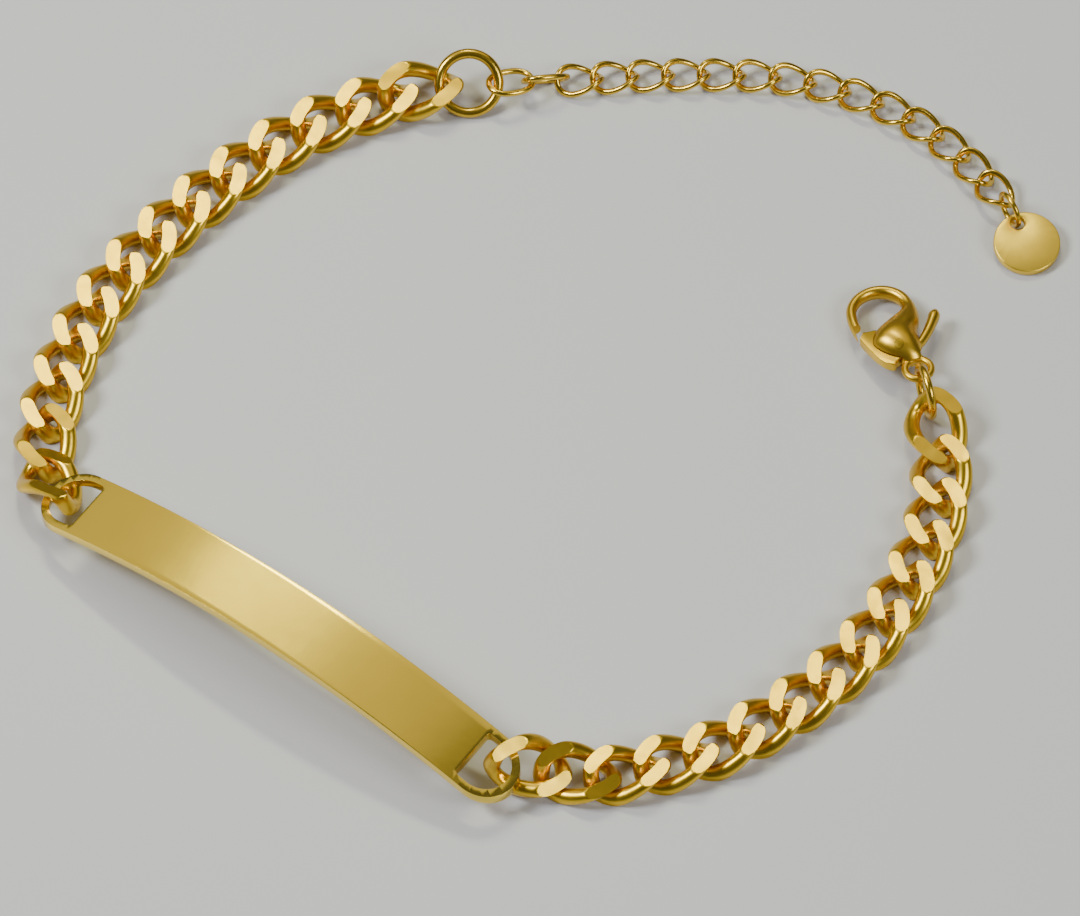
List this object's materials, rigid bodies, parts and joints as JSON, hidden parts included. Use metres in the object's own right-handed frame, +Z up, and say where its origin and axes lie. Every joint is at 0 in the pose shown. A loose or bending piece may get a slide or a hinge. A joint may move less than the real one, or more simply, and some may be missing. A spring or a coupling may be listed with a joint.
{
  "type": "identity bracelet",
  "caption": "Open chain bracelet with a bare arched name bar between curb chains, a lobster clasp on a ring and an extension chain with a small disc.",
  "frame": {"origin": "on the table, under the middle of the box round the whole bracelet as it lies open", "axes": "+X to the right and +Y away from the viewer along the table, +Z up; the disc is at the +X side and the name bar at the -X, -Y side"},
  "size_m": [0.084, 0.0726, 0.0069],
  "materials": {
    "bar_gold": "satin brushed gold plating on steel",
    "curb_gold": "polished gold plating on steel, faces ground flat",
    "ring_gold": "polished gold plating on steel wire",
    "chain_gold": "bright polished gold plating on fine steel wire",
    "disc_gold": "satin gold plating on steel",
    "clasp_gold": "polished gold plating on cast steel",
    "lever_gold": "polished gold plating on steel"
  },
  "bodies": {
    "bracelet": {"id_bar": "bar_gold", "left_link_01": "curb_gold", "left_link_02": "curb_gold", "left_link_03": "curb_gold", "left_link_04": "curb_gold", "left_link_05": "curb_gold", "left_link_06": "curb_gold", "left_link_07": "curb_gold", "left_link_08": "curb_gold", "left_link_09": "curb_gold", "left_link_10": "curb_gold", "left_link_11": "curb_gold", "left_link_12": "curb_gold", "left_link_13": "curb_gold", "left_link_14": "curb_gold", "right_link_01": "curb_gold", "right_link_02": "curb_gold", "right_link_03": "curb_gold", "right_link_04": "curb_gold", "right_link_05": "curb_gold", "right_link_06": "curb_gold", "right_link_07": "curb_gold", "right_link_08": "curb_gold", "right_link_09": "curb_gold", "right_link_10": "curb_gold", "right_link_11": "curb_gold", "right_link_12": "curb_gold", "right_link_13": "curb_gold", "right_link_14": "curb_gold", "extender_ring": "ring_gold", "extension_chain": "chain_gold", "tag_ring": "ring_gold", "tag_disc": "disc_gold", "clasp_ring": "ring_gold", "clasp_body": "clasp_gold", "clasp_pin": "lever_gold"},
    "lever": {"clasp_lever": "lever_gold"}
  },
  "joints": [
    {"name": "lever_hinge", "type": "hinge", "parent": "bracelet", "child": "lever", "pos_m": [0.02889, 0.00666, 0.00192], "axis": [0.0453, -0.1316, -0.9903], "range_deg": [0, 22], "stiffness_Nm_per_rad": 0.002, "springref_deg": -11.46}
  ]
}
